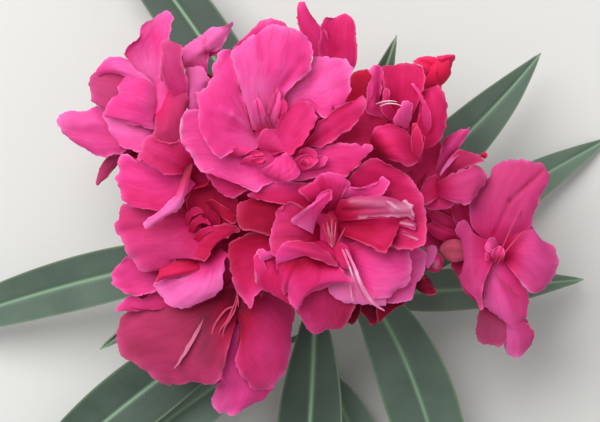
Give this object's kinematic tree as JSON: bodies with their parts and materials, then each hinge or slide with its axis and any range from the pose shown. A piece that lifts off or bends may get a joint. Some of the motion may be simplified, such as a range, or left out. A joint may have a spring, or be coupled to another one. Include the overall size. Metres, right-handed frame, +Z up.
{
  "type": "cut oleander flowering shoot",
  "caption": "Cut garden-shrub shoot: a dense head of double pink funnel flowers and red buds over whorls of long narrow leathery leaves, lying with its flowers upwards.",
  "frame": {"origin": "on the surface the shoot lies on, under the middle of its outline seen from above", "axes": "+Z up, the way the flower head faces; -Y towards the cut end of the stem; +X to the right as the head is seen from above with the cut end nearest"},
  "size_m": [0.2563, 0.2742, 0.098],
  "materials": {
    "stem_bark": "smooth young green-grey bark with small pale pores",
    "flower_stalk": "soft matt red-brown flower stalks",
    "leaf_blade": "leathery grey-green leaf with a low sheen and a pale midrib",
    "flower_petal": "soft matt crimson-pink petal, darker in the throat",
    "bud_petal": "smooth matt deep red furled petals"
  },
  "bodies": {
    "root": {"stem": "stem_bark", "flower_stalk": "flower_stalk", "bough_left": "flower_stalk", "bough_back": "flower_stalk", "bough_right": "flower_stalk", "bloom_head": "flower_petal", "bloom_heart": "flower_petal", "bloom_left_high": "flower_petal", "bloom_left_low": "flower_petal", "bloom_front_left": "flower_petal", "bloom_far_left": "flower_petal", "bloom_back_left": "flower_petal", "bloom_back": "flower_petal", "bloom_cupped": "flower_petal", "bloom_half_open": "flower_petal", "bloom_far_right": "flower_petal", "bud_twisted": "bud_petal", "bud_round": "bud_petal", "bud_slim": "bud_petal", "bud_drooping": "bud_petal", "bud_dark_left": "bud_petal", "bud_dark_right": "bud_petal", "stalk_bloom_head": "flower_stalk", "stalk_bloom_heart": "flower_stalk", "stalk_bloom_left_high": "flower_stalk", "stalk_bloom_left_low": "flower_stalk", "stalk_bloom_front_left": "flower_stalk", "stalk_bloom_far_left": "flower_stalk", "stalk_bloom_back_left": "flower_stalk", "stalk_bloom_back": "flower_stalk", "stalk_bloom_cupped": "flower_stalk", "stalk_bloom_half_open": "flower_stalk", "stalk_bloom_far_right": "flower_stalk", "stalk_bud_twisted": "flower_stalk", "stalk_bud_round": "flower_stalk", "stalk_bud_slim": "flower_stalk", "stalk_bud_drooping": "flower_stalk", "stalk_bud_dark_left": "flower_stalk", "stalk_bud_dark_right": "flower_stalk", "leaf_left": "leaf_blade", "leaf_right_up": "leaf_blade", "leaf_front_right": "leaf_blade", "leaf_front_left": "leaf_blade", "leaf_right": "leaf_blade", "leaf_back_left": "leaf_blade", "leaf_front": "leaf_blade", "leaf_right_low": "leaf_blade", "leaf_front_left_low": "leaf_blade", "leaf_front_right_low": "leaf_blade", "leaf_back": "leaf_blade", "leaf_small_left": "leaf_blade"}
  },
  "joints": []
}
